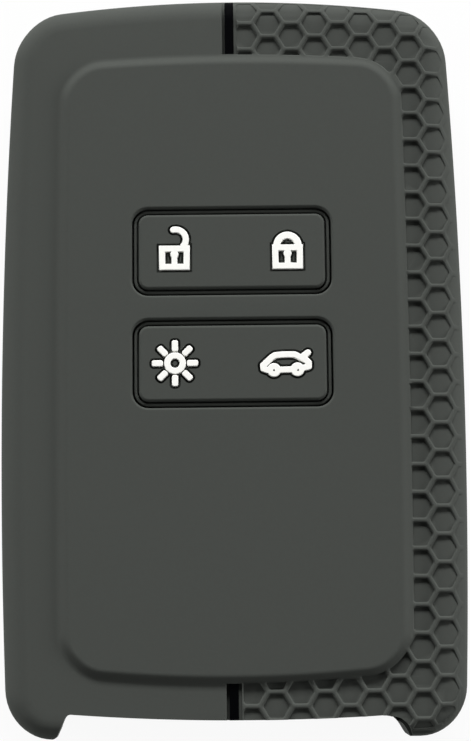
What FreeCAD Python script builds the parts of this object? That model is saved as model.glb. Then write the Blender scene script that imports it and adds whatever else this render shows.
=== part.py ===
import FreeCAD, Part
import math
import os

# Silicone cover for a flat card key with four buttons, lying on its back.
# X runs across the cover, Y from its open end to its closed end, Z out of its front.
# The origin is in the middle of the back, and all sizes are in millimetres.

# Sleeve
cover_length = 102.0
cover_width = 63.5
rim_height = 13.0
side_wall = 1.7
front_skin = 1.7
back_skin = 1.6
front_roll = 3.6
back_roll = 3.0
top_corner = 8.2
ear_corner = 6.8
top_crown = 2.35
top_narrowing = 1.72
widest_below_middle = 7.3

# Open end, between the two ears
mouth_width = 44.05
mouth_shift = -0.43
mouth_flare = 1.55
mouth_depth = 3.18
mouth_left_corner = 0.6
mouth_right_corner = 1.6
lip_bow = 0.78
lip_lean = 0.44

# Raised front panel, measured at the top of its ramp
panel_side_margin = 9.5
panel_top_margin = 10.3
panel_bottom_margin = 8.5
panel_top_bow = 0.9
panel_bottom_bow = 1.3
panel_side_bow = 0.3
panel_corner = 4.2
panel_rise = 0.8
ramp_run = 1.9

# Button windows, pads and the webs that carry the pads
window_width = 27.2
window_height = 12.1
window_corner = 2.2
button_drop = 26.3
button_pitch = 15.4
moat = 0.9
pad_lift = 0.2
web_thickness = 0.5
web_rise = 0.7
bond_gap = 0.05
bead_width = 0.42
bead_drop = 0.5
bead_round = 0.17

# White signs let into the pads
icon_reach = 7.72
icon_shift = -0.1
icon_stroke = 0.84
icon_sink = 0.6
icon_proud = 0.12
icon_gap = 0.33

# Padlocks
padlock_width = 4.18
padlock_height = 3.38
padlock_drop = 0.87
keyhole_radius = 0.55
keyhole_drop = 0.39
keyhole_stem = 0.78
closed_shackle_radius = 1.46
closed_shackle_stroke = 0.95
closed_shackle_sink = 0.17
open_shackle_radius = 1.38
open_shackle_lift = 0.85
open_shackle_shift = 0.19
open_shackle_from = -50
open_shackle_to = 104

# Lamp: a ring with eight rays
lamp_ring_radius = 1.47
lamp_hole_radius = 0.63
lamp_ray_start = 1.62
lamp_ray_end = 3.14
lamp_ray_corner = 0.28
lamp_rays = 8

# Car with its boot lid raised
car_width = 7.2
car_height = 3.78
car_drop = 0.2
car_inset = 0.4
wheel_radius = 0.93
car_body_shares = [
    (-0.354, -0.23), (-0.427, -0.18), (-0.433, -0.055), (-0.354, 0.083), (-0.275, 0.221), (-0.209, 0.302),
    (-0.084, 0.324), (0.048, 0.329), (0.166, 0.319), (0.272, 0.221), (0.371, 0.126), (0.423, 0.02),
    (0.423, -0.118), (0.344, -0.155), (0.21, -0.212),
]
boot_lid_shares = [(0.331, 0.279), (0.41, 0.389)]
wheel_shares = [(-0.232, -0.228), (0.21, -0.212)]

# Black stripes over the two ends
stripe_width = 1.1
top_stripe_offset = 0.0
bottom_stripe_offset = -0.23
stripe_recess = 0.3
stripe_thickness = 0.45
stripe_bank = 0.47
stripe_fit = 0.02

# Honeycomb band
honey_pitch = 3.75
honey_rib = 0.6
honey_depth = 0.4
honey_start = 2.08
honey_drop = 5.71
honey_border = 1.3
honey_bank_gap = 0.1
smallest_cell_share = 0.1

# Working values
overrun = 1.0
snap = 0.001

UP = FreeCAD.Vector(0, 0, 1)
half_length = cover_length / 2
half_width = cover_width / 2
front_z = rim_height + panel_rise
skin_z = rim_height - front_skin
panel_half = half_width - panel_side_margin
panel_top = half_length - panel_top_margin
panel_bottom = panel_bottom_margin - half_length
pad_width = window_width - 2 * moat
pad_height = window_height - 2 * moat
upper_y = panel_top - button_drop
lower_y = upper_y - button_pitch
lip_left = mouth_shift - mouth_width / 2
lip_right = mouth_shift + mouth_width / 2


def at(x, y, z=0):
    return FreeCAD.Vector(x, y, z)


def arc(start, middle, end):
    return Part.Arc(start, middle, end).toShape()


def line(start, end):
    return Part.LineSegment(start, end).toShape()


def is_post(edge):
    """True for an edge that stands straight up."""
    span = edge.BoundBox
    return span.XLength < snap and span.YLength < snap


def lies_at(edge, level):
    """True for an edge that lies flat at a level."""
    span = edge.BoundBox
    return abs(span.ZMin - level) < snap and span.ZLength < snap


def lowest_wire(solid):
    return min(solid.Faces, key=lambda face: face.CenterOfMass.z).OuterWire


def box(low, high):
    """Block between two opposite corners."""
    size = high - low
    return Part.makeBox(size.x, size.y, size.z, low)


def rounded_outline(edges, top_radius, bottom_radius):
    """Closed outline of the edges, with its upper and lower corners rounded."""
    slab = Part.Face(Part.Wire(edges)).extrude(UP * rim_height)
    for radius, side in ((top_radius, 1), (bottom_radius, -1)):
        posts = [edge for edge in slab.Edges if is_post(edge) and edge.CenterOfMass.y * side > 0]
        slab = slab.makeFillet(radius, posts)
    return lowest_wire(slab)


def rounded_plate(width, height, corner, centre_y, low, high):
    """Plate with rounded corners, between two levels."""
    plate = box(at(-width / 2, centre_y - height / 2, low), at(width / 2, centre_y + height / 2, high))
    return plate.makeFillet(corner, [edge for edge in plate.Edges if is_post(edge)])


def crossing(centre_a, radius_a, centre_b, radius_b):
    """The higher of the two points where two circles cross."""
    between = centre_b - centre_a
    along = (between.Length**2 + radius_a**2 - radius_b**2) / (2 * between.Length)
    aside = math.sqrt(radius_a**2 - along**2)
    out = between / between.Length
    foot = centre_a + out * along
    across = at(-out.y, out.x) * aside
    return max(foot + across, foot - across, key=lambda point: point.y)


def cover_outline(inset):
    """Plan of the sleeve, drawn in evenly: bowed sides, a crowned top and a line across the ears."""
    side_fall = half_length - top_crown + widest_below_middle
    side_radius = (side_fall**2 + top_narrowing**2) / (2 * top_narrowing)
    side_centre = at(half_width - side_radius, -widest_below_middle)
    top_half = half_width - top_narrowing
    top_radius = (top_half**2 + top_crown**2) / (2 * top_crown)
    top_centre = at(0, half_length - top_radius)
    top_right = crossing(side_centre, side_radius - inset, top_centre, top_radius - inset)
    ear_y = inset - half_length
    ear_reach = math.sqrt((side_radius - inset) ** 2 - (ear_y + widest_below_middle) ** 2)
    ear_right = at(side_centre.x + ear_reach, ear_y)
    top_left = at(-top_right.x, top_right.y)
    ear_left = at(-ear_right.x, ear_y)
    widest = at(half_width - inset, -widest_below_middle)
    edges = [
        arc(top_left, at(0, half_length - inset), top_right),
        arc(top_right, widest, ear_right),
        line(ear_right, ear_left),
        arc(ear_left, at(-widest.x, widest.y), top_left),
    ]
    return rounded_outline(edges, top_corner - inset, ear_corner - inset)


def rolled_body(outline, low, high, back_radius, front_radius):
    """The outline raised from low to high, with both of its long edges rolled over."""
    body = Part.Face(outline).extrude(UP * (high - low))
    body.translate(UP * low)
    for level, radius in ((high, front_radius), (low, back_radius)):
        body = body.makeFillet(radius, [edge for edge in body.Edges if lies_at(edge, level)])
    return body


def lip_block(high):
    """Squares off the rolled end between the ears, so that the lip stays flat."""
    return box(at(lip_left, -half_length, 0), at(lip_right, front_roll - half_length, high))


def body_layer(depth):
    """The sleeve's outer form with an even layer taken off its front, sides and ends."""
    high = rim_height - depth
    return rolled_body(cover_outline(depth), 0, high, back_roll, front_roll - depth).fuse(lip_block(high))


def panel_outline(grow):
    """Plan of the raised panel, bowed on all sides and grown outwards from the top of its ramp."""
    side = panel_half + grow
    top = panel_top + grow
    bottom = panel_bottom - grow
    x = side - panel_side_bow
    high = top - panel_top_bow
    low = bottom + panel_bottom_bow
    middle = (high + low) / 2
    edges = [
        arc(at(-x, high), at(0, top), at(x, high)),
        arc(at(x, high), at(side, middle), at(x, low)),
        arc(at(x, low), at(0, bottom), at(-x, low)),
        arc(at(-x, low), at(-side, middle), at(-x, high)),
    ]
    return rounded_outline(edges, panel_corner + grow, panel_corner + grow)


def panel_solid():
    """The raised panel with its sloped edge."""
    foot = panel_outline(ramp_run)
    crest = panel_outline(0)
    foot.translate(UP * rim_height)
    crest.translate(UP * front_z)
    return Part.makeLoft([foot, crest], True, True)


def mouth_cut():
    """The notch between the ears and the straight way into the card pocket."""
    tip_left = lip_left - mouth_flare
    tip_right = lip_right + mouth_flare
    lip_y = mouth_depth - half_length
    end_y = -half_length - overrun
    points = [at(tip_left, end_y), at(tip_left, -half_length), at(lip_left, lip_y + lip_lean / 2)]
    ends = [at(lip_right, lip_y - lip_lean / 2), at(tip_right, -half_length), at(tip_right, end_y)]
    edges = [line(a, b) for a, b in zip(points, points[1:])]
    edges.append(arc(points[-1], at(mouth_shift, lip_y - lip_bow), ends[0]))
    edges += [line(a, b) for a, b in zip(ends, ends[1:])]
    edges.append(line(ends[-1], points[0]))
    notch = Part.Face(Part.Wire(edges)).extrude(UP * (front_z + 2 * overrun))
    notch.translate(UP * -overrun)
    for radius, side in ((mouth_left_corner, -1), (mouth_right_corner, 1)):
        posts = [edge for edge in notch.Edges if is_post(edge) and edge.CenterOfMass.x * side > 0]
        notch = notch.makeFillet(radius, [max(posts, key=lambda post: post.CenterOfMass.y)])
    way = box(at(lip_left, end_y, back_skin), at(lip_right, front_roll - half_length, skin_z))
    return notch.fuse(way)


def honeycomb_cells():
    """Hexagonal pockets on the right of the stripe, with a flat floor that runs out on the rolled edge."""
    zone = Part.Face(cover_outline(honey_border)).cut(Part.Face(panel_outline(ramp_run)))
    zone_left = top_stripe_offset + stripe_width / 2 + stripe_bank + honey_bank_gap
    zone = zone.common(Part.makePlane(half_width, cover_length, at(zone_left, -half_length)))
    column_step = honey_pitch * math.sqrt(3) / 2
    reach = (honey_pitch - honey_rib) / math.sqrt(3)
    turns = [math.radians(60 * corner) for corner in range(7)]
    hexagon = [at(reach * math.cos(turn), reach * math.sin(turn)) for turn in turns]
    columns = int((half_width - honey_start) / column_step) + 2
    rows = int(cover_length / honey_pitch) + 2
    cells = []
    for column in range(columns):
        for row in range(rows):
            x = honey_start + column * column_step
            y = half_length - honey_drop + (1 - row + column % 2 / 2) * honey_pitch
            cell = Part.Face(Part.makePolygon([corner + at(x, y) for corner in hexagon]))
            inside = cell.common(zone)
            if inside.Area > cell.Area * smallest_cell_share:
                cells += inside.Faces
    pockets = Part.makeCompound([cell.extrude(UP * (honey_depth + overrun)) for cell in cells])
    pockets.translate(UP * (rim_height - honey_depth))
    return pockets


def stripe_band(width, top_end):
    """Slab along the middle of one end, from the foot of the panel outwards."""
    middle = top_stripe_offset if top_end else bottom_stripe_offset
    left = middle - width / 2
    right = middle + width / 2
    if top_end:
        return box(at(left, panel_top + ramp_run, back_roll), at(right, half_length + overrun, front_z))
    low = rim_height - front_roll
    return box(at(left, -half_length - overrun, low), at(right, panel_bottom - ramp_run, front_z))


def stripe_groove(top_end):
    """Shallow bank on both sides of a stripe, and the slot that the stripe lies in."""
    bank = stripe_band(stripe_width + 2 * stripe_bank, top_end).cut(body_layer(stripe_recess))
    slot = stripe_band(stripe_width + 2 * stripe_fit, top_end)
    return bank.fuse(slot.cut(body_layer(stripe_recess + stripe_thickness)))


def stripe(top_end):
    """Black inlay, flush with the bank of its groove."""
    band = stripe_band(stripe_width, top_end).common(body_layer(stripe_recess))
    return band.cut(body_layer(stripe_recess + stripe_thickness - stripe_fit)).cut(mouth_cut())


def cover_shell():
    """The sleeve with its panel, pocket, mouth, windows, honeycomb and stripe grooves."""
    shell = body_layer(0).fuse(panel_solid()).removeSplitter()
    inside = cover_outline(side_wall)
    pocket = rolled_body(inside, back_skin, skin_z, back_roll - side_wall, front_roll - side_wall)
    cuts = [pocket, mouth_cut()]
    low = skin_z - overrun
    high = front_z + overrun
    for centre_y in (upper_y, lower_y):
        cuts.append(rounded_plate(window_width, window_height, window_corner, centre_y, low, high))
    cuts += [stripe_groove(True), stripe_groove(False), honeycomb_cells()]
    for cut in cuts:
        shell = shell.cut(cut)
    return shell


def button_pad(centre_y, pockets):
    """Pad that stands in its window, flush with the panel, with pockets for its signs."""
    low = skin_z + pad_lift
    pad = rounded_plate(pad_width, pad_height, window_corner - moat, centre_y, low, front_z)
    for pocket in pockets:
        pad = pad.cut(pocket)
    return pad


def button_web(centre_y):
    """Thin sloped ring from the edge of the window to the side of the pad, with a bead round its middle."""

    def ring_wire(grow, level):
        width = pad_width + 2 * grow
        height = pad_height + 2 * grow
        corner = window_corner - moat + grow
        return lowest_wire(rounded_plate(width, height, corner, centre_y, level, level + web_rise))

    def hip(low, high):
        wires = [ring_wire(moat - bond_gap, low), ring_wire(bond_gap, high)]
        return Part.makeLoft(wires, True, True)

    outer_low = skin_z
    inner_low = outer_low + web_rise
    outer_top = outer_low + web_thickness
    inner_top = inner_low + web_thickness
    rim = Part.Face(ring_wire(moat - bond_gap, outer_low)).extrude(UP * web_thickness)
    bore = Part.Face(ring_wire(bond_gap, outer_low)).extrude(UP * (web_rise + web_thickness))
    web = rim.fuse(hip(outer_top, inner_top)).cut(hip(outer_low, inner_low)).cut(bore)
    bead_low = (outer_low + inner_top) / 2
    bead_high = front_z - bead_drop
    bead = Part.Face(ring_wire((moat + bead_width) / 2, bead_low))
    bead = bead.cut(Part.Face(ring_wire((moat - bead_width) / 2, bead_low)))
    bead = bead.extrude(UP * (bead_high - bead_low))
    bead = bead.makeFillet(bead_round, [edge for edge in bead.Edges if lies_at(edge, bead_high)])
    return web.fuse(bead)


def disc(x, y, radius):
    return Part.Face(Part.Wire(Part.makeCircle(radius, at(x, y))))


def bar(start, end, width):
    """Straight stroke with round ends."""
    along = end - start
    middle = Part.makePlane(along.Length, width, at(0, -width / 2))
    middle.rotate(at(0, 0), UP, math.degrees(math.atan2(along.y, along.x)))
    middle.translate(start)
    return middle.fuse([disc(start.x, start.y, width / 2), disc(end.x, end.y, width / 2)])


def plate(width, height):
    """Flat rectangle about the origin."""
    return Part.makePlane(width, height, at(-width / 2, -height / 2))


def padlock_body(grow):
    """Frame of a padlock with its keyhole standing in it."""
    hole_width = padlock_width - 2 * icon_stroke
    hole_height = padlock_height - 2 * icon_stroke
    outer = plate(padlock_width + 2 * grow, padlock_height + 2 * grow)
    inner = plate(hole_width - 2 * grow, hole_height - 2 * grow)
    head = at(0, hole_height / 2 - keyhole_drop)
    stem = bar(head, at(0, -hole_height / 2), keyhole_stem + 2 * grow)
    return outer.cut(inner).fuse([disc(head.x, head.y, keyhole_radius + grow), stem])


def shackle(centre, radius, stroke, low_turn, high_turn):
    """Part of a ring, between two turns in degrees that are no more than half a circle apart."""
    ring = disc(centre.x, centre.y, radius + stroke / 2).cut(disc(centre.x, centre.y, radius - stroke / 2))
    steps = 4
    corners = [centre]
    for step in range(steps + 1):
        turn = math.radians(low_turn + (high_turn - low_turn) * step / steps)
        corners.append(centre + at(math.cos(turn), math.sin(turn)) * (2 * radius))
    return ring.common(Part.Face(Part.makePolygon(corners + [centre])))


def lock_sign(grow):
    """Closed padlock: the shackle is a dome on the body."""
    root = at(0, padlock_height / 2 - closed_shackle_sink)
    dome = shackle(root, closed_shackle_radius, closed_shackle_stroke + 2 * grow, 0, 180)
    return padlock_body(grow).fuse(dome)


def unlock_sign(grow):
    """Open padlock: the shackle is a hook that stands on the right of the body."""
    centre = at(open_shackle_shift, padlock_height / 2 + open_shackle_lift)
    stroke = icon_stroke + 2 * grow
    hook = shackle(centre, open_shackle_radius, stroke, open_shackle_from, open_shackle_to)
    turn = math.radians(open_shackle_to)
    free_end = centre + at(math.cos(turn), math.sin(turn)) * open_shackle_radius
    return padlock_body(grow).fuse([hook, disc(free_end.x, free_end.y, stroke / 2)])


def lamp_ray(grow):
    """Rounded rectangle that points away from the lamp along X."""
    length = lamp_ray_end - lamp_ray_start + 2 * grow
    width = icon_stroke + 2 * grow
    corner = lamp_ray_corner + grow
    ray = plate(length, width - 2 * corner).fuse(plate(length - 2 * corner, width))
    x = length / 2 - corner
    y = width / 2 - corner
    ray = ray.fuse([disc(*spot, corner) for spot in ((x, y), (x, -y), (-x, y), (-x, -y))])
    ray.translate(at((lamp_ray_start + lamp_ray_end) / 2, 0))
    return ray


def light_sign(grow):
    """Lamp: a ring with rays round it."""
    sign = disc(0, 0, lamp_ring_radius + grow).cut(disc(0, 0, lamp_hole_radius - grow))
    for step in range(lamp_rays):
        ray = lamp_ray(grow)
        ray.rotate(at(0, 0), UP, 360 * step / lamp_rays)
        sign = sign.fuse(ray)
    return sign


def boot_sign(grow):
    """Car seen from its side, with its boot lid raised."""

    def places(shares):
        return [at(x * car_width, y * car_height) for x, y in shares]

    stroke = icon_stroke + 2 * grow
    body = places(car_body_shares)
    wheels = places(wheel_shares)
    strokes = [bar(a, b, stroke) for a, b in zip(body, body[1:])]
    strokes += [bar(*places(boot_lid_shares), stroke), bar(*wheels, stroke)]
    strokes.append(bar(body[0], wheels[0], stroke))
    strokes += [disc(wheel.x, wheel.y, wheel_radius + grow) for wheel in wheels]
    return strokes[0].fuse(strokes[1:])


def raise_sign(sign, x, y, low, high):
    """Flat sign turned into a solid that stands between two levels."""
    strokes = [face.extrude(UP * (high - low)) for face in sign.Faces]
    group = strokes[0].fuse(strokes[1:]).removeSplitter()
    group.translate(at(x, y, low))
    return group


def main():
    os.makedirs("parts", exist_ok=True)
    padlock_y = upper_y - padlock_drop
    car_y = lower_y - car_drop
    left = icon_shift - icon_reach
    right = icon_shift + icon_reach
    signs = {
        "unlock_icon": (unlock_sign, left, padlock_y),
        "lock_icon": (lock_sign, right, padlock_y),
        "light_icon": (light_sign, left, lower_y),
        "boot_icon": (boot_sign, right - car_inset, car_y),
    }
    floor_z = front_z - icon_sink
    nodes = {}
    pockets = {}
    for name, (sign, x, y) in signs.items():
        nodes[name] = raise_sign(sign(0), x, y, floor_z, front_z + icon_proud)
        pockets[name] = raise_sign(sign(icon_gap), x, y, floor_z, front_z + overrun)
    nodes["cover_shell"] = cover_shell()
    nodes["upper_button_pad"] = button_pad(upper_y, [pockets["unlock_icon"], pockets["lock_icon"]])
    nodes["lower_button_pad"] = button_pad(lower_y, [pockets["light_icon"], pockets["boot_icon"]])
    nodes["upper_button_web"] = button_web(upper_y)
    nodes["lower_button_web"] = button_web(lower_y)
    nodes["top_stripe"] = stripe(True)
    nodes["bottom_stripe"] = stripe(False)
    for name, shape in nodes.items():
        solids = shape.Solids
        state = "valid" if shape.isValid() else "BROKEN"
        print(name, len(solids), "solids", round(shape.Volume, 1), "mm3", state)
        part = solids[0] if len(solids) == 1 else Part.makeCompound(solids)
        part.exportStep("parts/" + name + ".step")


main()
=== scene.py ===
# %% [markdown]
# # A silicone cover for a card key
# The object is a soft sleeve that slips over a flat key card. It has a plain grey half, a honeycomb half,
# a raised panel with two button pads, and four white signs. The imported model gives the overall sizes and
# the places of the pads and signs, so the lesson starts by loading it as a fixed frame.

# %% Load the frame
import bpy
import bmesh
import math
import numpy as np
from mathutils import Matrix, Vector


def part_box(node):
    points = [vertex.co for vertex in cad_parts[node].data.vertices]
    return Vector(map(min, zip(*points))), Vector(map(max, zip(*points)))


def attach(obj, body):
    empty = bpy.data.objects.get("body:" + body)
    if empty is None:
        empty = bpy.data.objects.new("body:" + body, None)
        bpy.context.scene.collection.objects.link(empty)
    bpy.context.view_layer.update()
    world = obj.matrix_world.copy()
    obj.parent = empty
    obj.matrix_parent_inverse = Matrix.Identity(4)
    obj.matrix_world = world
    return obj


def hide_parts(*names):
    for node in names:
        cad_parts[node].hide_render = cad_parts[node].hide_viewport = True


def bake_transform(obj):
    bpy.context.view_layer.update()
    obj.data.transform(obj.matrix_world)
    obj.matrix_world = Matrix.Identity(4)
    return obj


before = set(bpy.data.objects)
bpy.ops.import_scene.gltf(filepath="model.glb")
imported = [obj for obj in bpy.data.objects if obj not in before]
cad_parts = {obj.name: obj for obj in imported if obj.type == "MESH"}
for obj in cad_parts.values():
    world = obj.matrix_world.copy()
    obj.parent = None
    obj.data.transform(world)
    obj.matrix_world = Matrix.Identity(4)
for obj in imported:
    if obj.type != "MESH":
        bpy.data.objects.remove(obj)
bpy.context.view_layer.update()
MM = 0.001

# %% [markdown]
# ## Working by hand, in code
# An operator works on whatever is selected, so each step first clears the selection and then picks faces,
# edges or points by where they are. The ribs of this cover are under a millimetre. Scaled to metres they
# would come close to the tolerances of Blender's tools, so pieces are modelled with one unit as one
# millimetre and shrunk at the end.

# %% Helpers for selecting and shaping
def only(piece):
    """Leaves one piece selected and active."""
    bpy.ops.object.select_all(action="DESELECT")
    piece.select_set(True)
    bpy.context.view_layer.objects.active = piece


def open_piece(piece):
    """Opens a piece for work on its points, edges and faces."""
    only(piece)
    bpy.ops.object.mode_set(mode="EDIT")


def close_piece():
    """Leaves the open piece."""
    bpy.ops.object.mode_set(mode="OBJECT")


def pick(piece, kind, test):
    """Selects the points, edges or faces of the open piece that pass a test, and counts them."""
    bpy.ops.mesh.select_mode(type=kind)
    bpy.ops.mesh.select_all(action="DESELECT")
    shape = bmesh.from_edit_mesh(piece.data)
    group = {"VERT": shape.verts, "EDGE": shape.edges, "FACE": shape.faces}[kind]
    chosen = [item for item in group if test(item)]
    for item in chosen:
        item.select_set(True)
    bmesh.update_edit_mesh(piece.data)
    return len(chosen)


def place(piece, move):
    """Moves each selected point of the open piece to where a formula puts it."""
    shape = bmesh.from_edit_mesh(piece.data)
    for point in shape.verts:
        if point.select:
            point.co = move(point.co)
    bmesh.update_edit_mesh(piece.data)


def join(pieces):
    """Joins pieces into the first of them."""
    only(pieces[0])
    for piece in pieces:
        piece.select_set(True)
    bpy.ops.object.join()
    return bpy.context.object


def carve(piece, tool, operation="DIFFERENCE"):
    """Cuts a piece with a tool shape, and clears the tool away."""
    only(piece)
    cut = piece.modifiers.new("cut", "BOOLEAN")
    cut.operation = operation
    cut.solver = "EXACT"
    cut.object = tool
    bpy.ops.object.modifier_apply(modifier=cut.name)
    bpy.data.objects.remove(tool)


def finish_piece(piece, name, turn):
    """Shrinks a piece to metres, smooths its gentle edges and puts its place into its mesh."""
    only(piece)
    piece.name = name
    piece.data.name = name
    piece.scale = (MM, MM, MM)
    bpy.ops.object.transform_apply(location=True, rotation=True, scale=True)
    bpy.ops.object.shade_smooth_by_angle(angle=math.radians(turn))
    even = piece.modifiers.new("even shading", "WEIGHTED_NORMAL")
    even.keep_sharp = True
    bpy.ops.object.modifier_apply(modifier=even.name)
    piece.data.calc_loop_triangles()
    print(name, len(piece.data.vertices), "points", len(piece.data.loop_triangles), "triangles")
    return piece


# %% [markdown]
# ## Sizes
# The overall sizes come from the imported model. Most others are read from the photograph with the cover's
# own length as the ruler, and what it doesn't show, such as the walls and the back, is chosen to suit them.
# Keeping the main sizes together as named values lets a reader change the design.

# %% Sizes in millimetres
shell_low, shell_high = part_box("cover_shell")
half_width = (shell_high.x - shell_low.x) / MM / 2
half_length = (shell_high.y - shell_low.y) / MM / 2
front_z = shell_high.z / MM
panel_rise = 0.8
rim_z = front_z - panel_rise
wall = 1.7
skin = 1.7
back_skin = 1.6
front_roll = 3.6
ear_roll = 2.6
back_roll = 3.0
top_corner = 6.6
ear_corner = 6.5
top_crown = 2.35
top_narrowing = 1.72
widest_y = -7.3
panel_half = 22.25
panel_top = 40.7
panel_bottom = -42.5
panel_top_bow = 0.9
panel_bottom_bow = 1.3
panel_side_bow = 0.3
panel_corner = 4.2
ramp_run = 1.9
window_width = 27.2
window_height = 12.1
window_corner = 2.2
window_round = 0.35
lip_left = -22.455
lip_right = 21.595
lip_flare = 1.55
lip_height = 3.18
lip_y = lip_height - half_length
lip_bow = 0.78
lip_lean = 0.44
notch_left_corner = 0.6
notch_right_corner = 2.2
overrun = 1.0
notch_end = -half_length - overrun
pad_y = {}
for name in ("upper", "lower"):
    pad_low, pad_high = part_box(name + "_button_pad")
    pad_y[name] = (pad_low.y + pad_high.y) / 2 / MM
print("rim at", round(rim_z, 2), "front at", round(front_z, 2), "pads at", pad_y)

# %% [markdown]
# ## The outline
# Seen from the front the sleeve is a tall rounded rectangle with bowed sides and a crowned top.
# A plane with bevelled corner points gives the rounded rectangle, cuts along its long sides give it points
# to bend, and a formula bends them. A drawn curve would do too, but this keeps one polygon to inset.

# %% A rounded plate, bent by a formula
def rounded_plate(name, width, height, middle_y, high_corner, low_corner, rounds, cuts):
    """Flat plate with rounded corners: a plane, two corner bevels and cuts along its sides."""
    bpy.ops.object.select_all(action="DESELECT")
    bpy.ops.mesh.primitive_plane_add(size=1, location=(0, middle_y, 0))
    plate = bpy.context.object
    plate.name = name
    plate.scale = (width, height, 1)
    bpy.ops.object.transform_apply(location=True, scale=True)
    open_piece(plate)
    pick(plate, "VERT", lambda v: v.co.y > middle_y)
    bpy.ops.mesh.bevel(offset=high_corner, segments=rounds, affect="VERTICES")
    pick(plate, "VERT", lambda v: v.co.y < middle_y - height / 2 + high_corner / 100)
    bpy.ops.mesh.bevel(offset=low_corner, segments=rounds, affect="VERTICES")
    pick(plate, "EDGE", lambda e: e.calc_length() > min(width, height) / 2)
    bpy.ops.mesh.subdivide(number_cuts=cuts)
    close_piece()
    return plate


def bend_cover(co):
    """Crowns the top and bows the sides of the cover's outline."""
    lift = min(1.0, max(0.0, co.y / (half_length - top_corner)))
    y = co.y - top_crown * (co.x / half_width) ** 2 * lift
    side = 1 - top_narrowing * ((y - widest_y) / (half_length - top_crown - widest_y)) ** 2 / half_width
    return Vector((co.x * side, y, co.z))


def bend_panel(co):
    """Bows the four sides of the panel's outline."""
    middle = (panel_top + panel_bottom) / 2
    reach = min(1.0, abs(co.y - middle) / (panel_top - middle))
    bow = panel_top_bow if co.y > middle else -panel_bottom_bow
    y = co.y - bow * (co.x / panel_half) ** 2 * reach**4
    return Vector((co.x * (1 - panel_side_bow * reach**2 / panel_half), y, co.z))


def cover_plate(name):
    """Plate in the plan of the whole cover."""
    width = 2 * half_width
    height = 2 * half_length
    plate = rounded_plate(name, width, height, 0, top_corner, ear_corner, rounds=12, cuts=39)
    open_piece(plate)
    bpy.ops.mesh.select_all(action="SELECT")
    place(plate, bend_cover)
    close_piece()
    return plate


def panel_plate(name, grow):
    """Plate in the plan of the raised panel, grown by a distance all round."""
    width = 2 * (panel_half + grow)
    height = panel_top - panel_bottom + 2 * grow
    middle = (panel_top + panel_bottom) / 2
    corner = panel_corner + grow
    plate = rounded_plate(name, width, height, middle, corner, corner, rounds=10, cuts=23)
    open_piece(plate)
    bpy.ops.mesh.select_all(action="SELECT")
    place(plate, bend_panel)
    close_piece()
    return plate


def outline_of(plate):
    """The outline of a plate of one polygon, as an ordered list of plan points."""
    ring = plate.data.polygons[0].vertices
    return np.array([plate.data.vertices[i].co[:2] for i in ring])


def raise_plate(plate, low, high):
    """Turns a flat plate into a closed block between two levels."""
    open_piece(plate)
    bpy.ops.mesh.select_all(action="SELECT")
    bpy.ops.transform.translate(value=(0, 0, low))
    bpy.ops.mesh.extrude_region_move(TRANSFORM_OT_translate={"value": (0, 0, high - low)})
    bpy.ops.mesh.select_all(action="SELECT")
    bpy.ops.mesh.normals_make_consistent(inside=False)
    close_piece()
    return plate


def notch_plate(left_more, right_more):
    """Plan of the notch between the ears: slanted sides, two different corners and a bowed lip."""
    lip_band = 0.5
    side_band = 0.1
    bpy.ops.object.select_all(action="DESELECT")
    bpy.ops.mesh.primitive_plane_add(size=2, location=(0, 0, 0))
    notch = bpy.context.object
    notch.name = "notch"

    def corner(co):
        side = lip_left - left_more if co.x < 0 else lip_right
        if co.y > 0:
            more = right_more if co.x > 0 else 0
            return Vector((side + more, lip_y - math.copysign(lip_lean / 2, co.x), 0))
        out = lip_flare * (lip_y - notch_end) / (lip_y + half_length)
        return Vector((side + math.copysign(out, co.x), notch_end, 0))

    def bow(co):
        share = (2 * co.x - lip_left - lip_right) / (lip_right - lip_left)
        return co - Vector((0, lip_bow * max(0, 1 - share**2), 0))

    def at_lip(v):
        return v.co.y > lip_y - lip_band

    open_piece(notch)
    bpy.ops.mesh.select_all(action="SELECT")
    place(notch, corner)
    pick(notch, "VERT", lambda v: at_lip(v) and v.co.x < 0)
    bpy.ops.mesh.bevel(offset=notch_left_corner, segments=5, affect="VERTICES")
    pick(notch, "VERT", lambda v: at_lip(v) and v.co.x > lip_right - side_band)
    bpy.ops.mesh.bevel(offset=notch_right_corner, segments=8, affect="VERTICES")
    pick(notch, "EDGE", lambda e: all(at_lip(v) for v in e.verts) and e.calc_length() > lip_right / 2)
    bpy.ops.mesh.subdivide(number_cuts=23)
    bpy.ops.mesh.select_all(action="SELECT")
    place(notch, bow)
    close_piece()
    return notch


front = cover_plate("front")
cover_edge = outline_of(front)
panel = panel_plate("panel", ramp_run)
panel_foot = outline_of(panel)
print("outline points:", len(cover_edge), "cover,", len(panel_foot), "panel")

# %% [markdown]
# ## The front as a flat sheet
# Rings are inset where the edge will roll over and where the panel's ramp will rise, because a surface
# can only bend where it has points. The panel's rings are joined to the cover's with a bridge.

# %% Distance from an outline
def edge_reach(points, outline):
    """Distance of plan points from an outline, positive inside it, and the outward direction there."""
    start = outline
    along = np.roll(outline, -1, axis=0) - start
    turn = np.sign(np.sum(start[:, 0] * np.roll(start[:, 1], -1) - np.roll(start[:, 0], -1) * start[:, 1]))
    reach = np.empty(len(points))
    outward = np.empty((len(points), 2))
    for i, point in enumerate(points):
        away = point - start
        share = np.clip((away * along).sum(1) / (along * along).sum(1), 0, 1)
        gap = away - along * share[:, None]
        near = int(np.argmin((gap * gap).sum(1)))
        side = along[near] / np.hypot(*along[near])
        outward[i] = (side[1] * turn, -side[0] * turn)
        length = np.hypot(*gap[near])
        reach[i] = -length if gap[near] @ outward[i] > 0 else length
    return reach, outward


def reach_in(co, outline):
    """Distance of one point inside an outline."""
    return edge_reach(np.array([co[:2]]), outline)[0][0]


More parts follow.
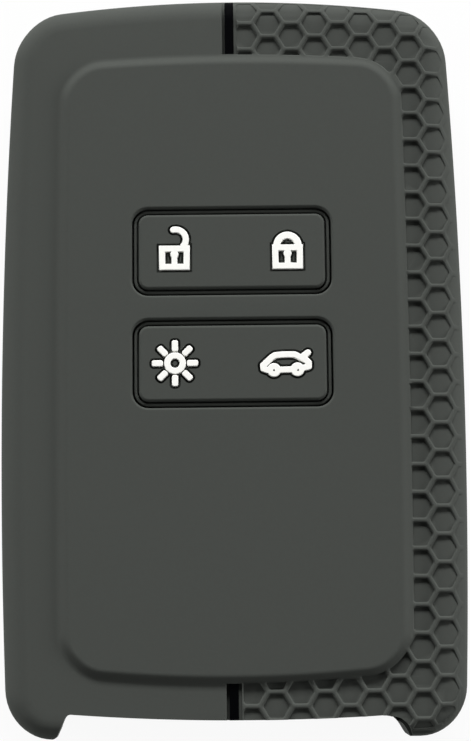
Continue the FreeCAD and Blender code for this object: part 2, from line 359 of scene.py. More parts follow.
# %% Inset rings and bridge them
def inset_rings(plate, depths):
    """Insets the one polygon of a plate again and again, to the given distances from its edge."""
    open_piece(plate)
    bpy.ops.mesh.select_mode(type="FACE")
    bpy.ops.mesh.select_all(action="SELECT")
    done = 0
    for depth in depths:
        bpy.ops.mesh.inset(thickness=depth - done, use_even_offset=True)
        done = depth


sheet_edge = 0.22
plain_edge = 0.35
roll_rings = (0.55, 0.9, 1.4, 2.0, 2.7)
inset_rings(front, [sheet_edge, plain_edge, *roll_rings, front_roll])
bpy.ops.mesh.delete(type="FACE")
pick(front, "FACE", lambda f: min(reach_in(v.co, cover_edge) for v in f.verts) < sheet_edge / 2)
bpy.ops.mesh.delete(type="FACE")
close_piece()
foot_strip = 0.36
ramp_steps = 7
slope_run = ramp_run - foot_strip
inset_rings(panel, [foot_strip + slope_run * step / ramp_steps for step in range(ramp_steps + 1)])
between_pads = sum(pad_y.values()) / 2
bpy.ops.mesh.bisect(plane_co=(0, between_pads, 0), plane_no=(0, 1, 0))
close_piece()
front = join([front, panel])
open_piece(front)
pick(front, "EDGE", lambda e: e.is_boundary and reach_in(e.verts[0].co, cover_edge) > front_roll / 2)
bpy.ops.mesh.bridge_edge_loops()
line_gap = 0.01


def between_windows(e):
    """True for the line that parts the two halves of the panel's top."""
    return e.calc_length() > panel_half and all(abs(v.co.y - between_pads) < line_gap for v in e.verts)


pick(front, "EDGE", between_windows)
bpy.ops.mesh.subdivide(number_cuts=15)
close_piece()
print("front sheet:", len(front.data.polygons), "faces")

# %% [markdown]
# ## Two windows in the panel
# The flat top of the panel was cut in two between the pads. Each half is taken out and bridged to a rounded
# rectangle, which leaves a hole whose edge can be rolled inwards later. A boolean would be quicker, but it
# would leave long stray edges across the panel.

# %% Bridge the windows in
hole_width = window_width + 2 * window_round
hole_height = window_height + 2 * window_round
hole_corner = window_corner + window_round
many_points = 30
for name, y in pad_y.items():
    side = 1 if y > between_pads else -1

    def in_half(item):
        points = [v.co.y for v in item.verts]
        return (sum(points) / len(points) - between_pads) * side > -line_gap

    def at_hole(e):
        inner = e.is_boundary and in_half(e) and reach_in(e.verts[0].co, panel_foot) > ramp_run / 2
        return e.is_wire or inner

    hole = rounded_plate("hole", hole_width, hole_height, y, hole_corner, hole_corner, rounds=8, cuts=7)
    open_piece(hole)
    bpy.ops.mesh.select_all(action="SELECT")
    bpy.ops.mesh.delete(type="ONLY_FACE")
    close_piece()
    open_piece(front)
    pick(front, "FACE", lambda f: len(f.verts) > many_points and in_half(f))
    bpy.ops.mesh.delete(type="ONLY_FACE")
    close_piece()
    front = join([front, hole])
    open_piece(front)
    print(name, "window loops:", pick(front, "EDGE", at_hole))
    bpy.ops.mesh.bridge_edge_loops()
    close_piece()

# %% [markdown]
# ## The honeycomb
# On the right of the stripe the real cover has hexagonal pockets with ribs between them. One hexagon is a
# six-sided cylinder with softened corners. It is copied over a grid, and the outer copies are drawn inwards
# a little, because on the real cover the pattern goes round the rolled edge and looks narrower there. The
# copies are trimmed by the cover's edge, the panel, the notch and the stripe, and then they are all pressed
# into the flat sheet at once. Doing this while the sheet is still flat keeps every wall upright, so the
# rib edges can take a clean bevel. The rings on the right are dissolved first, because a ring that crosses
# a rib would spoil that bevel. Below the panel the pockets bite into its slope, so the lower rings of the
# slope go there too.

# %% Clear the right side
slope_end = panel_bottom + panel_corner
bitten_slope = ramp_run / 2
sheet_depth = 2.0


def in_honeycomb(f):
    """True for a ring face that the honeycomb will cover."""
    middle = f.calc_center_median()
    if middle.x < 0 or reach_in(middle, cover_edge) < plain_edge:
        return False
    return reach_in(middle, panel_foot) < (bitten_slope if middle.y < slope_end else foot_strip)


open_piece(front)
print("ring faces dissolved:", pick(front, "FACE", in_honeycomb))
bpy.ops.mesh.dissolve_faces()
close_piece()
raise_plate(front, -sheet_depth, 0.0)

# %% Copies of one hexagon
pitch = 3.75
rib = 0.66
pocket_depth = 0.4
first_column = 2.08
first_row_drop = 5.96
first_row = half_length - first_row_drop
stripe_side = 0.95
border = 0.6
foot_cut = 0.14
slope_bite = 0.46
cell_corner = 0.2
notch_rib = (0.9, -0.3, 0)
ear_border = 0.5
cell_height = 2.0
wrap_share = 0.7
cell_reach = (pitch - rib) / math.sqrt(3)
column_step = pitch * math.sqrt(3) / 2


def upright(e):
    """True for an edge that runs up the side of a cell."""
    return abs(e.verts[0].co.z - e.verts[1].co.z) > cell_height / 2


bpy.ops.object.select_all(action="DESELECT")
flat_up = (0, 0, math.pi / 6)
bpy.ops.mesh.primitive_cylinder_add(vertices=6, radius=cell_reach, depth=cell_height, rotation=flat_up)
cell = bpy.context.object
bpy.ops.object.transform_apply(rotation=True)
open_piece(cell)
pick(cell, "EDGE", upright)
bpy.ops.mesh.bevel(offset=cell_corner, segments=3, affect="EDGES")
close_piece()
cells = []
for column in range(int((half_width - first_column) / column_step) + 2):
    for row in range(int(2 * half_length / pitch) + 2):
        x = first_column + column * column_step
        y = first_row + (1 - row + column % 2 / 2) * pitch
        if reach_in((x, y), cover_edge) < -cell_reach or reach_in((x, y), panel_foot) > cell_reach:
            continue
        copy = cell.copy()
        copy.data = cell.data.copy()
        copy.data.transform(Matrix.Translation((x, y, cell_height / 2 - pocket_depth)))
        bpy.context.collection.objects.link(copy)
        cells.append(copy)
bpy.data.objects.remove(cell)
pockets = join(cells)
corners = np.array([v.co[:2] for v in pockets.data.vertices])
reach, outward = edge_reach(corners, cover_edge)
along = np.clip(front_roll - reach, 0, wrap_share * front_roll)
wrapped = corners - outward * (along - front_roll * np.sin(along / front_roll))[:, None]
for v, spot in zip(pockets.data.vertices, wrapped):
    v.co.xy = spot
print("hexagons:", len(cells), "wrapped by up to", round(np.hypot(*(wrapped - corners).T).max(), 2), "mm")

# %% Trim the copies
trim_level = 3.0
trim = cover_plate("trim")
inset_rings(trim, [border])
bpy.ops.mesh.select_all(action="INVERT")
bpy.ops.mesh.delete(type="FACE")
pick(trim, "VERT", lambda v: v.co.y < ear_corner / 2 - half_length)
bpy.ops.transform.translate(value=(0, ear_border, 0))
close_piece()
carve(pockets, raise_plate(trim, -trim_level, trim_level), "INTERSECT")
trim = panel_plate("trim", ramp_run - foot_cut)
open_piece(trim)
pick(trim, "VERT", lambda v: v.co.y < 0)
bpy.ops.transform.translate(value=(0, slope_bite, 0))
close_piece()
carve(pockets, raise_plate(trim, -trim_level, trim_level))
trim = notch_plate(0, 0)
trim.data.transform(Matrix.Translation(notch_rib))
carve(pockets, raise_plate(trim, -trim_level, trim_level))
open_piece(pockets)
bpy.ops.mesh.select_all(action="SELECT")
bpy.ops.mesh.bisect(plane_co=(stripe_side, 0, 0), plane_no=(1, 0, 0), use_fill=True, clear_inner=True)
bpy.ops.mesh.select_all(action="SELECT")
bpy.ops.mesh.separate(type="LOOSE")
close_piece()
print("pockets after the trim:", len(bpy.context.selected_objects))

# %% Drop the slivers and press the pockets in
whole_cell = 1.5 * math.sqrt(3) * cell_reach**2
smallest_share = 0.08
trimmed_corner = 0.18
trimmed_turn = math.radians(35)
kept = []
for part in list(bpy.context.selected_objects):
    solid = bmesh.new()
    solid.from_mesh(part.data)
    area = abs(solid.calc_volume()) / cell_height
    solid.free()
    if area < whole_cell * smallest_share:
        bpy.data.objects.remove(part)
    else:
        kept.append(part)
pockets = join(kept)
open_piece(pockets)
pick(pockets, "EDGE", lambda e: upright(e) and e.calc_face_angle() > trimmed_turn)
bpy.ops.mesh.bevel(offset=trimmed_corner, segments=3, affect="EDGES")
close_piece()
print("pockets kept:", len(kept))
carve(front, pockets)

# %% Bevel the ribs
rib_round = 0.2
rib_profile = 0.35
floor_round = 0.06
weld_gap = 0.01
level_gap = 0.001
low_share = 0.95
lean_share = 0.5
open_piece(front)
pick(front, "FACE", lambda f: any(v.co.z < -low_share * sheet_depth for v in f.verts))
bpy.ops.mesh.delete(type="FACE")
bpy.ops.mesh.select_all(action="SELECT")
bpy.ops.mesh.remove_doubles(threshold=weld_gap)


def steep_edge(e, level):
    """True for an edge at a level where an upright wall meets a flat face."""
    flat = all(abs(v.co.z - level) < level_gap for v in e.verts)
    return flat and len(e.link_faces) == 2 and any(abs(f.normal.z) < lean_share for f in e.link_faces)


print("rib edges:", pick(front, "EDGE", lambda e: steep_edge(e, 0.0)))
bpy.ops.mesh.bevel(offset=rib_round, segments=3, profile=rib_profile, affect="EDGES", clamp_overlap=False)
print("floor edges:", pick(front, "EDGE", lambda e: steep_edge(e, -pocket_depth)))
bpy.ops.mesh.bevel(offset=floor_round, segments=2, affect="EDGES", clamp_overlap=False)

# %% Cut lines for the bend on the right
bend_x = 26.3
steep_x = 29.3
bend_y = 44.6
steep_y = 48.0
ear_bend_y = -47.9
foot_room = 0.2
foot_y = panel_bottom - ramp_run - foot_room
stripe_room = 1.5
wide_step = 0.45
fine_step = 0.25
merge_gap = 0.0004
cut_lines = (
    (0, bend_x, steep_x, wide_step),
    (0, steep_x, half_width - plain_edge, fine_step),
    (1, bend_y, steep_y, wide_step),
    (1, steep_y, half_length - plain_edge, fine_step),
    (1, plain_edge - half_length, ear_bend_y, fine_step),
    (1, foot_y, panel_bottom, fine_step),
)


def bends(f):
    """True for a face of the honeycomb side that the next step will bend."""
    middle = f.calc_center_median()
    slope = bitten_slope if middle.y < slope_end else 0
    on_side = middle.x > -stripe_room and plain_edge < reach_in(middle, cover_edge)
    return on_side and reach_in(middle, panel_foot) < slope


pick(front, "FACE", bends)
bpy.ops.mesh.hide(unselected=True)
for axis, first, last, cut_step in cut_lines:
    for step in range(int((last - first) / cut_step) + 1):
        spot = [0, 0, 0]
        spot[axis] = first + step * cut_step
        normal = [0, 0, 0]
        normal[axis] = 1
        bpy.ops.mesh.select_all(action="SELECT")
        bpy.ops.mesh.bisect(plane_co=spot, plane_no=normal, threshold=merge_gap)
bpy.ops.mesh.reveal()
print("faces to triangulate:", pick(front, "FACE", lambda f: len(f.verts) > 4))
bpy.ops.mesh.quads_convert_to_tris(quad_method="BEAUTY", ngon_method="BEAUTY")
close_piece()
print("front sheet:", len(front.data.polygons), "faces")

# %% [markdown]
# ## Rolling the sheet over
# The sheet is lifted onto its real surface: the rim rolls down to the walls and the panel rises on a soft
# slope. The pockets get shallower towards the edge, as a mould must leave them so that the soft sleeve can
# be pulled off.

# %% Lift the sheet
end_run_out = 2.4
side_run_out = 0.8
end_depth_share = 0.3


def roll_level(reach, outward):
    """Level of the front at a distance from the cover's edge."""
    round_down = front_roll + (ear_roll - front_roll) * np.clip(-outward[:, 1], 0, 1) ** 2
    inside = np.clip(round_down - reach, 0, round_down)
    return rim_z - round_down + np.sqrt(round_down**2 - inside**2)


def lift_front(piece):
    """Puts every point of the sheet at the level of the real surface, pockets included."""
    mesh = piece.data
    spots = np.array([v.co[:] for v in mesh.vertices])
    ramp = np.clip(edge_reach(spots[:, :2], panel_foot)[0] / ramp_run, 0, 1)
    rise = panel_rise * ramp**3 * (10 - 15 * ramp + 6 * ramp**2) * (1 + spots[:, 2] / pocket_depth)
    reach, outward = edge_reach(spots[:, :2], cover_edge)
    run_out = end_run_out + side_run_out * outward[:, 0] ** 2
    edge_share = end_depth_share * outward[:, 1] ** 2
    depth_share = edge_share + (1 - edge_share) * np.clip((reach - border) / (run_out - border), 0, 1)
    for v, level in zip(mesh.vertices, roll_level(reach, outward) + rise + spots[:, 2] * depth_share):
        v.co.z = level


lift_front(front)
levels = [v.co.z for v in front.data.vertices]
print("sheet from", round(min(levels), 2), "to", round(max(levels), 2))

# %% Roll the window edges inwards
well_depth = 0.5
round_steps = 4
skin_z = rim_z - skin
well_z = skin_z - well_depth


def window_ring(y, grow, level):
    """Extrudes the selected free edge of a window to a rounded rectangle at a level."""

    def move(co):
        x = max(window_corner - window_width / 2, min(window_width / 2 - window_corner, co.x))
        up = max(window_corner - window_height / 2, min(window_height / 2 - window_corner, co.y - y))
        core = Vector((x, y + up))
        spot = core + (co.xy - core).normalized() * (window_corner + grow)
        return Vector((spot.x, spot.y, level))

    bpy.ops.mesh.extrude_region_move()
    place(front, move)


open_piece(front)
for name, y in pad_y.items():

    def at_window(e):
        spot = e.verts[0].co
        in_panel = e.is_boundary and abs(spot.x) < panel_half
        return in_panel and abs(spot.y - y) < window_height / 2 + 2 * window_round

    print(name, "window edge:", pick(front, "EDGE", at_window))
    for step in range(1, round_steps + 1):
        turn = math.pi / 2 * step / round_steps
        window_ring(y, window_round * (1 - math.sin(turn)), front_z - window_round * (1 - math.cos(turn)))
    window_ring(y, 0, well_z)
    bpy.ops.mesh.edge_face_add()
close_piece()

# %% [markdown]
# ## Walls and back
# The free edge of the sheet is extruded ring by ring: down the rest of the roll, down the wall, round the
# back roll, and then it is closed with one face. This is how a sheet becomes a closed body by hand.

# %% Extrude the walls
last_insets = (0.09, 0.02, 0.0)
back_steps = 6
just_inside_share = 0.999
open_piece(front)
pick(front, "EDGE", lambda e: e.is_boundary)
shape = bmesh.from_edit_mesh(front.data)
free = np.array([v.co[:2] for v in shape.verts if v.select])
nearest = {tuple(corner): free[np.argmin(((free - corner) ** 2).sum(1))] for corner in cover_edge}
outwards = dict(zip(nearest, edge_reach(cover_edge * just_inside_share, cover_edge)[1]))


def next_ring(piece, inset, level):
    """Extrudes the selected free edge to a distance inside the outline, at a level."""
    bpy.ops.mesh.extrude_region_move()

    def move(co):
        corner = tuple(cover_edge[np.argmin(((cover_edge - np.array(co[:2])) ** 2).sum(1))])
        x, y = np.array(corner) + (nearest[corner] - corner) * inset / sheet_edge
        return Vector((x, y, level(inset, outwards[corner])))

    place(piece, move)


def roll_at(inset, outward):
    """Level of the front for one point."""
    return roll_level(np.array([inset]), np.array([outward]))[0]


print("free edge points:", len(free))
for inset in last_insets:
    next_ring(front, inset, roll_at)
next_ring(front, 0.0, lambda inset, outward: back_roll)
for step in range(1, back_steps + 1):
    turn = math.pi / 2 * step / back_steps
    inset = back_roll * (1 - math.cos(turn))
    next_ring(front, inset, lambda inset, outward: back_roll * (1 - math.sin(turn)))
bpy.ops.mesh.edge_face_add()
bpy.ops.mesh.select_all(action="SELECT")
bpy.ops.mesh.normals_make_consistent(inside=False)
print("open edges left:", pick(front, "EDGE", lambda e: not e.is_manifold))
close_piece()

# %% [markdown]
# ## Pocket and mouth
# The card slides in between two ears at the lower end. A boolean cuts the hollow, which also opens the two
# windows from below, and then the notch between the ears, because these are true cuts through a finished
# skin. Below the front edge the notch is cut a little wider on the left, so the edge overhangs and hides
# what is behind it. On the right the front is cut back instead, which leaves a dark step below the
# honeycomb. These two cuts stay clear of the first one's walls, because a boolean goes wrong on faces that
# lie on each other. The tip of the left ear is rounded by a wedge with a round bite out of it, as a file
# would round it.

# %% Card pocket
hollow_round = 1.3


def block(name, low, high):
    """Plain block between two corner points."""
    bpy.ops.object.select_all(action="DESELECT")
    bpy.ops.mesh.primitive_cube_add(size=1, location=[(a + b) / 2 for a, b in zip(low, high)])
    cube = bpy.context.object
    cube.name = name
    cube.scale = [b - a for a, b in zip(low, high)]
    bpy.ops.object.transform_apply(location=True, scale=True)
    return cube


hollow = cover_plate("hollow")
inset_rings(hollow, [wall])
bpy.ops.mesh.select_all(action="INVERT")
bpy.ops.mesh.delete(type="FACE")
close_piece()
raise_plate(hollow, back_skin, skin_z)
open_piece(hollow)
pick(hollow, "EDGE", lambda e: abs(e.verts[0].co.z - e.verts[1].co.z) < level_gap)
bpy.ops.mesh.bevel(offset=hollow_round, segments=4, affect="EDGES")
close_piece()
carve(front, hollow)
print("pocket cut, shell faces:", len(front.data.polygons))

# %% Notch between the ears
overhang = 1.3
ear_edge = 0.3
ear_edge_z = rim_z - ear_roll - ear_edge
step_side = 1.22
step_depth = 2.0
step_z = rim_z - step_depth
clear = -1.0
clear_drop = (0, -0.25, 0)
way_reach = 4.0
carve(front, raise_plate(notch_plate(0, 0), -overrun, front_z + overrun))
wider_cuts = (
    (overhang, clear, -overrun, ear_edge_z),
    (clear, step_side, step_z, front_z + overrun),
)
for left_more, right_more, low, high in wider_cuts:
    wider = notch_plate(left_more, right_more)
    wider.data.transform(Matrix.Translation(clear_drop))
    carve(front, raise_plate(wider, low, high))
carve(front, block("way", (lip_left, notch_end, back_skin), (lip_right, lip_y + way_reach, skin_z)))
print("notch cut, shell faces:", len(front.data.polygons))

# %% Round tip on the left ear
tip_round = 1.2
tip_turn = math.atan(lip_flare / (lip_y + half_length))
tip_length = tip_round / math.tan((math.pi / 2 + tip_turn) / 2)
tip_x = lip_left - lip_flare
round_x = tip_x - tip_length
round_y = tip_length * math.cos(tip_turn) - half_length
wedge = block("wedge", (round_x, notch_end, -overrun), (tip_x + tip_round, round_y, front_z))
bpy.ops.object.select_all(action="DESELECT")
bpy.ops.mesh.primitive_cylinder_add(vertices=64, radius=tip_round, depth=4 * front_z,
                                    location=(round_x, tip_round - half_length, 0))
carve(wedge, bpy.context.object)
carve(front, wedge)
print("ear tip rounded, shell faces:", len(front.data.polygons))

# %% [markdown]
# ## Black stripes
# A narrow black strip stands in a slot at each end, just below the rim. The slot leaves a dark gap with a
# rounded shoulder on the left, there is a flat ledge on the right, and both run out on the rolled edge. At
# the closed end the strip rolls over the edge, so its section is swept by an extrude, a spin and another
# extrude. A spin that starts a little late lets the bar climb towards the surface as it turns.

# %% A bar that can roll over the closed end
roll_y = half_length - front_roll
roll_z = rim_z - front_roll


def sweep(x, y, z):
    """Extrudes the selected face by a step."""
    bpy.ops.mesh.extrude_region_move(TRANSFORM_OT_translate={"value": (x, y, z)})


def stripe_bar(name, section, start_y, end_y, late):
    """Bar with a section in X and Z that runs along Y to an end or, without one, over the closed end."""
    bpy.ops.object.select_all(action="DESELECT")
    bpy.ops.mesh.primitive_circle_add(vertices=len(section), fill_type="NGON")
    bar = bpy.context.object
    bar.name = name
    for v, (x, z) in zip(bar.data.vertices, section):
        v.co = (x, start_y, z)
    open_piece(bar)
    bpy.ops.mesh.select_all(action="SELECT")
    if end_y is None:
        sweep(0, roll_y + late - start_y, 0)
        bpy.ops.mesh.spin(steps=16, angle=math.pi / 2, center=(0, roll_y + late, roll_z), axis=(1, 0, 0))
        sweep(0, 0, back_roll - roll_z)
    else:
        sweep(0, end_y - start_y, 0)
    bpy.ops.mesh.select_all(action="SELECT")
    bpy.ops.mesh.remove_doubles(threshold=level_gap)
    bpy.ops.mesh.normals_make_consistent(inside=False)
    close_piece()
    return bar


# %% Grooves and stripes
stripe_half = 0.55
groove_depth = 0.3
slot_depth = 0.5
stripe_sink = 0.1
stripe_root = 0.2
left_grow = 0.11
gap_side = 0.36
ledge = 0.47
over = 0.4
bottom_shift = -0.23
shoulder_side = 0.5
shoulder = ((0.34, 0.0), (0.2, 0.02), (0.08, 0.09))
chamfer = 0.06
groove_late = 0.02
slot_late = 0.1
strip_late = 0.08
floor_z = rim_z - groove_depth
top_start = panel_top + ramp_run - foot_cut
bottom_start = panel_bottom - ramp_run + foot_cut + slope_bite
stripe_ends = {
    "top": (0.0, top_start, None, None),
    "bottom": (bottom_shift, bottom_start, lip_y - lip_bow, -half_length),
}
stripes = {}
for name, (middle, start_y, end_y, groove_end_y) in stripe_ends.items():
    left = middle - stripe_half - left_grow
    right = middle + stripe_half
    wall_x = left - gap_side
    groove = [
        (wall_x, floor_z),
        (right + ledge, floor_z),
        (right + ledge, rim_z + over),
        (wall_x - shoulder_side, rim_z + over),
    ]
    groove += [(wall_x - out, rim_z - down) for out, down in shoulder]
    carve(front, stripe_bar("groove", groove, start_y, groove_end_y, groove_depth + groove_late))
    slot_z = floor_z - slot_depth
    slot = [(wall_x, slot_z), (right, slot_z), (right, rim_z), (wall_x, rim_z)]
    carve(front, stripe_bar("slot", slot, start_y, groove_end_y, rim_z - slot_z + slot_late))
    low = slot_z - stripe_root
    high = rim_z - stripe_sink
    strip = [
        (left, low),
        (right, low),
        (right, high - chamfer),
        (right - chamfer, high),
        (left + chamfer, high),
        (left, high - chamfer),
    ]
    bar = stripe_bar("strip", strip, start_y, end_y, strip_late)
    stripes[name] = finish_piece(bar, name + "_black_stripe", turn=50)

# %% [markdown]
# ## A closed skin
# Many cuts leave points that almost touch and faces with no area. They can't be seen, but they would spoil
# the mesh for printing or for the next boolean, so they are merged, and the count of open edges shows
# whether the skin is closed.

# %% Merge the last points
open_piece(front)
bpy.ops.mesh.select_all(action="SELECT")
bpy.ops.mesh.remove_doubles(threshold=merge_gap)
bpy.ops.mesh.dissolve_degenerate(threshold=merge_gap)
print("open edges in the skin:", pick(front, "EDGE", lambda e: not e.is_manifold))
close_piece()
cover = finish_piece(front, "cover_skin", turn=35)

# %% [markdown]
# ## Button pads, webs and signs
# Each pad is a small soft block that stands in its window, held by a thin sloped web at the bottom of the
# moat. The white signs are let into the pads with a gap all round. Their plans are exact in the packed
# model, so clean copies of it are taken, and only the edges that a mould would leave soft are bevelled.

# %% Copies with soft edges
flat_turn = math.radians(1.0)
top_gap = 0.005
steep_share = 0.1
flat_share = 0.999


def cad_copy(node):
    """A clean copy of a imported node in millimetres: merged points and whole flat faces."""
    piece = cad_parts[node].copy()
    piece.data = piece.data.copy()
    piece.parent = None
    for key in list(piece.keys()):
        del piece[key]
    bpy.context.collection.objects.link(piece)
    piece.data.transform(Matrix.Scale(1 / MM, 4))
    open_piece(piece)
    bpy.ops.mesh.select_all(action="SELECT")
    bpy.ops.mesh.remove_doubles(threshold=merge_gap)
    bpy.ops.mesh.dissolve_limited(angle_limit=flat_turn)
    close_piece()
    return piece


def soften_top(piece, level, size, steps, test):
    """Bevels the sharp edges of a piece's upper face that pass a test."""

    def at_top(e):
        return all(abs(v.co.z - level) < top_gap for v in e.verts)

    def sharp(e):
        return at_top(e) and any(abs(f.normal.z) < steep_share for f in e.link_faces) and test(e)

    def rim(e):
        flat = [f.normal.z > flat_share for f in e.link_faces]
        return at_top(e) and any(flat) and not all(flat)

    open_piece(piece)
    count = pick(piece, "EDGE", sharp)
    bpy.ops.mesh.bevel(offset=size, segments=steps, affect="EDGES", loop_slide=False)
    pick(piece, "EDGE", rim)
    bpy.ops.mesh.mark_sharp()
    close_piece()
    return count


# %% Signs
signs = {"unlock_icon": "upper", "lock_icon": "upper", "light_icon": "lower", "boot_icon": "lower"}
sign_pieces = {}
sign_round = 0.07
hub_radius = 0.14
hub_depth = 2.0
hub_spots = {"boot_icon": ((5.56, -2.1), (8.81, -2.1))}
for node in signs:
    piece = cad_copy(node)
    sign_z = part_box(node)[1].z / MM
    print(node, "edges softened:", soften_top(piece, sign_z, sign_round, 2, lambda e: True))
    for x, y in hub_spots.get(node, ()):
        bpy.ops.object.select_all(action="DESELECT")
        bpy.ops.mesh.primitive_cylinder_add(
            vertices=16, radius=hub_radius, depth=hub_depth, location=(x, y, sign_z)
        )
        carve(piece, bpy.context.object)
    sign_pieces[node] = finish_piece(piece, node.replace("icon", "sign"), turn=35)

# %% Pads and webs
pads = {}
webs = {}
pad_round = 0.35
outer_band = 0.6
for name in pad_y:
    low, high = (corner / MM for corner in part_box(name + "_button_pad"))

    def on_outside(e):
        spot = (e.verts[0].co + e.verts[1].co) / 2
        return min(spot.x - low.x, high.x - spot.x, spot.y - low.y, high.y - spot.y) < outer_band

    piece = cad_copy(name + "_button_pad")
    print(name, "pad edges softened:", soften_top(piece, high.z, pad_round, 4, on_outside))
    pads[name] = finish_piece(piece, name + "_pad", turn=35)
    webs[name] = finish_piece(cad_copy(name + "_button_web"), name + "_web", turn=35)

# %% [markdown]
# ## Finishes
# Silicone is moulded in one colour, and a fine texture in the mould makes it matt. A fine noise that is
# measured in the object's own space gives a faint grain in colour and height, so that no surface is dead
# flat.

# %% Materials
grain_share = 0.05
grain_detail = 3.0
grain_bump = 0.08
grain_height = 0.03


def finish(name, colour, roughness, shine, grain_size):
    """Silicone of one colour with a faint grain, whose size is in millimetres."""
    material = bpy.data.materials.new(name)
    material.use_nodes = True
    nodes = material.node_tree.nodes
    links = material.node_tree.links
    shader = nodes["Principled BSDF"]
    where = nodes.new("ShaderNodeTexCoord")
    grain = nodes.new("ShaderNodeTexNoise")
    grain.inputs["Scale"].default_value = 1 / (grain_size * MM)
    grain.inputs["Detail"].default_value = grain_detail
    links.new(where.outputs["Object"], grain.inputs["Vector"])
    ramp = nodes.new("ShaderNodeValToRGB")
    ramp.color_ramp.elements[0].color = [c * (1 - grain_share) for c in colour] + [1]
    ramp.color_ramp.elements[1].color = [c * (1 + grain_share) for c in colour] + [1]
    links.new(grain.outputs["Fac"], ramp.inputs["Fac"])
    links.new(ramp.outputs["Color"], shader.inputs["Base Color"])
    shader.inputs["Roughness"].default_value = roughness
    shader.inputs["Specular IOR Level"].default_value = shine
    bump = nodes.new("ShaderNodeBump")
    bump.inputs["Strength"].default_value = grain_bump
    bump.inputs["Distance"].default_value = grain_height * MM
    links.new(grain.outputs["Fac"], bump.inputs["Height"])
    links.new(bump.outputs["Normal"], shader.inputs["Normal"])
    return material


grey_colour = (0.0632, 0.0680, 0.0622)
white_colour = (0.98, 0.98, 0.94)
black_colour = (0.0008, 0.0009, 0.0012)
grey = finish("grey_silicone_matte", grey_colour, roughness=0.75, shine=0.04, grain_size=0.35)
white = finish("white_silicone_satin", white_colour, roughness=0.6, shine=0.1, grain_size=0.5)
black = finish("black_silicone_satin", black_colour, roughness=0.6, shine=0.01, grain_size=0.4)
print("finishes:", [material.name for material in (grey, white, black)])

# %% [markdown]
# ## Pieces and bodies
# Each piece gets its finish and takes the place of its node in the imported model. The signs ride on the
# pads and the stripes on the cover. The webs are not attached to a body and keep their place.


def dress(piece, material, slot, *nodes):
    """Gives a piece its finish and the nodes that it stands for."""
    piece.data.materials.clear()
    piece.data.materials.append(material)
    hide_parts(*nodes)


dress(cover, grey, "grey_silicone", "cover_shell")
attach(cover, "cover")
for name, piece in stripes.items():
    dress(piece, black, "black_silicone", name + "_stripe")
    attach(piece, "cover")
for node, button in signs.items():
    dress(sign_pieces[node], white, "white_silicone", node)
    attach(sign_pieces[node], button + "_pad")
for name, y in pad_y.items():
    dress(pads[name], grey, "grey_silicone", name + "_button_pad")
    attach(pads[name], name + "_pad")
    dress(webs[name], grey, "grey_silicone", name + "_button_web")
    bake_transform(webs[name])
print("pieces dressed:", 1 + len(stripes) + len(sign_pieces) + len(pads) + len(webs))

# %% [markdown]
# ## Stage, light and camera
# The cover lies on white paper. A long soft light stands low behind its closed end and two weaker ones
# stand low at its sides, so flat parts stay even while ramps, ribs and edges catch the light. The paper and
# the room behind it are shown mostly by their own glow, which keeps the background white, leaves a faint
# shadow and sends no soft light back to the cover.

# %% What the eye sees as white
def seen_share(nodes, links, share):
    """A share for rays from the eye, straight or by way of gloss or glass, and zero for other light."""
    path = nodes.new("ShaderNodeLightPath")
    total = path.outputs["Is Camera Ray"]
    for kind in ("Is Glossy Ray", "Is Transmission Ray"):
        plus = nodes.new("ShaderNodeMath")
        plus.operation = "ADD"
        links.new(total, plus.inputs[0])
        links.new(path.outputs[kind], plus.inputs[1])
        total = plus.outputs[0]
    most = nodes.new("ShaderNodeMath")
    most.operation = "MULTIPLY"
    most.inputs[1].default_value = share
    links.new(total, most.inputs[0])
    return most.outputs[0]


def mix_seen(tree, plain, glow, share, end):
    """Shows a glow to the eye and a plain surface to other light."""
    mix = tree.nodes.new("ShaderNodeMixShader")
    tree.links.new(seen_share(tree.nodes, tree.links, share), mix.inputs["Fac"])
    tree.links.new(plain.outputs[0], mix.inputs[1])
    tree.links.new(glow.outputs[0], mix.inputs[2])
    tree.links.new(mix.outputs[0], tree.nodes[end].inputs["Surface"])


# %% Floor and world
floor_size = 3.0
paper_z = -0.0003
paper_tone = (0.9, 0.9, 0.9, 1)
paper_roughness = 0.9
paper_share = 0.93
pure_white = (1, 1, 1, 1)
room_light = 0.06
full_glow = 1.0
bpy.ops.object.select_all(action="DESELECT")
bpy.ops.mesh.primitive_plane_add(size=floor_size, location=(0, 0, paper_z))
floor = bpy.context.object
floor.name = "floor"
paper = bpy.data.materials.new("white_paper")
paper.use_nodes = True
plain_paper = paper.node_tree.nodes["Principled BSDF"]
plain_paper.inputs["Base Color"].default_value = paper_tone
plain_paper.inputs["Roughness"].default_value = paper_roughness
paper_glow = paper.node_tree.nodes.new("ShaderNodeEmission")
paper_glow.inputs["Strength"].default_value = full_glow
mix_seen(paper.node_tree, plain_paper, paper_glow, paper_share, "Material Output")
floor.data.materials.append(paper)

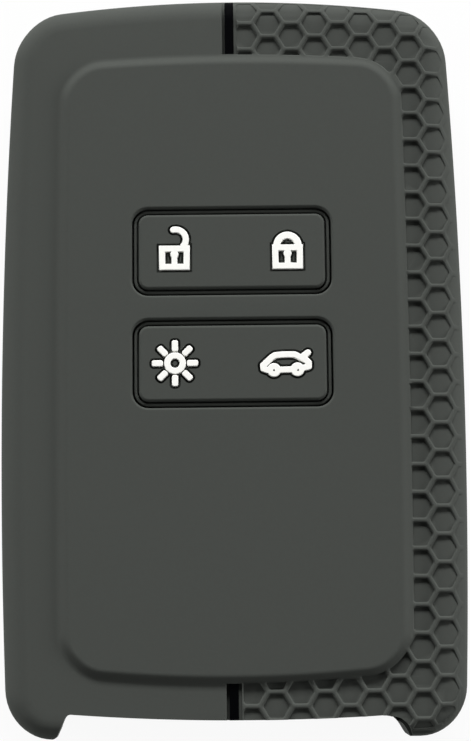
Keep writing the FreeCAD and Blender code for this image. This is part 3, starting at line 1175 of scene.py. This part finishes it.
world = bpy.context.scene.world or bpy.data.worlds.new("studio")
bpy.context.scene.world = world
world.use_nodes = True
room = world.node_tree.nodes["Background"]
room.inputs["Color"].default_value = pure_white
room.inputs["Strength"].default_value = room_light
room_glow = world.node_tree.nodes.new("ShaderNodeBackground")
room_glow.inputs["Color"].default_value = pure_white
room_glow.inputs["Strength"].default_value = full_glow
mix_seen(world.node_tree, room, room_glow, full_glow, "World Output")
print("stage:", floor.name, "and", world.name)

# %% Lamps
away = 1.5


def soft_lamp(name, azimuth, height, level, width, tall):
    """Soft box with its angles in degrees. At level 1 a face turned to it shows its colour as written."""
    turn = math.radians(azimuth)
    rise = math.radians(height)
    light = bpy.data.lights.new(name, "AREA")
    light.shape = "RECTANGLE"
    light.size = 2 * away * math.tan(math.radians(width / 2))
    light.size_y = 2 * away * math.tan(math.radians(tall / 2))
    light.energy = math.pi**2 * away**2 * level
    lamp = bpy.data.objects.new(name, light)
    bpy.context.collection.objects.link(lamp)
    lamp.location = (
        away * math.cos(turn) * math.cos(rise),
        away * math.sin(turn) * math.cos(rise),
        away * math.sin(rise),
    )
    lamp.rotation_euler = (-lamp.location).to_track_quat("-Z", "Y").to_euler()
    print(name, "sends", round(light.energy, 2), "watts")


soft_lamp("key_light", azimuth=90, height=27, level=1.66, width=50, tall=12)
soft_lamp("right_light", azimuth=0, height=15, level=0.68, width=40, tall=16)
soft_lamp("left_light", azimuth=180, height=15, level=0.48, width=40, tall=16)

# %% Camera
tilt = math.radians(8.052)
roll = math.radians(0.605)
aim = Vector((0.351, -1.96, 13.0)) * MM
distance = 245.0 * MM
picture_height = 741
focal_pixels = 1807.1
sensor_height = 24.0
nearest_seen = 0.01
ahead = Vector((0, math.sin(tilt), -math.cos(tilt)))
lens = bpy.data.cameras.new("camera")
lens.sensor_fit = "VERTICAL"
lens.sensor_height = sensor_height
lens.lens = focal_pixels / picture_height * sensor_height
lens.clip_start = nearest_seen
camera = bpy.data.objects.new("camera", lens)
bpy.context.collection.objects.link(camera)
stand = Matrix.Translation(aim - ahead * distance)
camera.matrix_world = stand @ Matrix.Rotation(tilt, 4, "X") @ Matrix.Rotation(-roll, 4, "Z")
bpy.context.scene.camera = camera
bpy.context.scene.view_settings.view_transform = "Standard"
print("camera with a lens of", round(lens.lens, 1), "mm")
